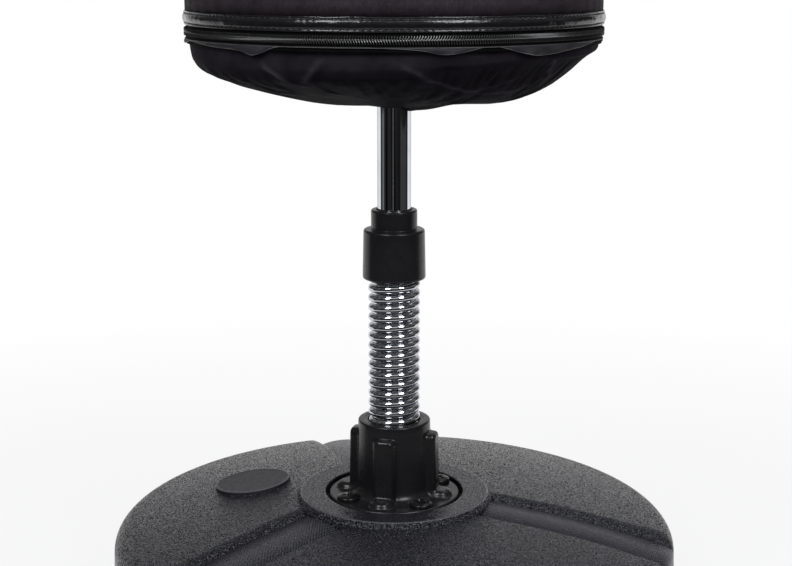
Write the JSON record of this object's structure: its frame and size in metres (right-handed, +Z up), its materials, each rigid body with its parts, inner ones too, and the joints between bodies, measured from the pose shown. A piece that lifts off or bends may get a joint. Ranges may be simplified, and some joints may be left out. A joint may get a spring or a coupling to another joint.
{
  "type": "spring reflex bag",
  "caption": "Free-standing reflex bag: a padded target slipped over a chromed pole that leans on a coil spring, held by a sand-filled base.",
  "frame": {"origin": "on the floor under the middle of the base", "axes": "+Z up along the pole; -Y towards the front, where the fill cap lies to the left behind the pole; +X to the right"},
  "size_m": [0.444, 0.4438, 1.6529],
  "materials": {
    "tank_plastic": "matte",
    "sand": "matte",
    "insert_brass": "satin",
    "moulded_black": "satin",
    "black_steel": "satin",
    "bare_steel": "satin",
    "cap_plastic": "matte",
    "seal_rubber": "matte",
    "chrome_wire": "polished",
    "chrome_tube": "polished",
    "collar_rubber": "satin",
    "sleeve_plastic": "satin",
    "foam": "matte",
    "wadding": "matte",
    "cover_fabric": "matte",
    "cover_leather": "satin",
    "zip_tape": "matte",
    "zip_nylon": "satin",
    "hem_tape": "matte",
    "lining_cloth": "matte"
  },
  "bodies": {
    "base": {"base_tank": "tank_plastic", "sand_fill": "sand", "screw_inserts": "insert_brass", "socket": "moulded_black", "socket_screws": "black_steel", "lower_spring_plug": "bare_steel", "anchor_bolt": "bare_steel", "anchor_washer": "bare_steel"},
    "cap": {"fill_cap": "cap_plastic", "fill_cap_seal": "seal_rubber"},
    "coil": {"spring": "chrome_wire"},
    "mast": {"upper_spring_plug": "bare_steel", "collar": "collar_rubber", "pole": "chrome_tube", "pole_cross_pin": "bare_steel", "pole_end_plug": "moulded_black"},
    "bag": {"inner_sleeve": "sleeve_plastic", "sleeve_plate": "sleeve_plastic", "foam_core": "foam", "top_pad": "foam", "bottom_wadding": "wadding", "cover_wall": "cover_fabric", "back_seam_strip": "cover_leather", "top_panel": "cover_leather", "top_piping": "cover_leather", "band": "cover_leather", "zip_tape_upper": "zip_tape", "zip_coil_upper": "zip_nylon", "zip_tape_lower": "zip_tape", "zip_coil_lower": "zip_nylon", "zip_stops": "black_steel", "hem_binding": "hem_tape", "bottom_panel": "lining_cloth"},
    "slider": {"zip_slider": "black_steel"},
    "pull": {"zip_pull": "black_steel"}
  },
  "joints": [
    {"name": "lean_front_back", "type": "hinge", "parent": "base", "child": "coil", "pos_m": [0, 0, 0.25075], "axis": [1, 0, 0], "range_deg": [-35, 35], "stiffness_Nm_per_rad": 320, "deforming": ["spring"]},
    {"name": "lean_side", "type": "hinge", "parent": "coil", "child": "mast", "pos_m": [0, 0, 0.30625], "axis": [0, 1, 0], "range_deg": [-35, 35], "stiffness_Nm_per_rad": 320, "deforming": ["spring"]},
    {"name": "bag_turn", "type": "hinge", "parent": "mast", "child": "bag", "pos_m": [0, 0, 1], "axis": [0, 0, 1], "continuous": true},
    {"name": "cap_pull_out", "type": "slide", "parent": "base", "child": "cap", "axis": [-0.1153, 0.0375, 0.9926], "range_m": [0, 0.03]},
    {"name": "zip_run", "type": "hinge", "parent": "bag", "child": "slider", "pos_m": [0, 0, 0.5203], "axis": [0, 0, -1], "range_deg": [0, 340]},
    {"name": "zip_pull_swing", "type": "hinge", "parent": "slider", "child": "pull", "pos_m": [0.02185, 0.15547, 0.5203], "axis": [0.9903, -0.1392, 0], "range_deg": [0, 150]}
  ]
}
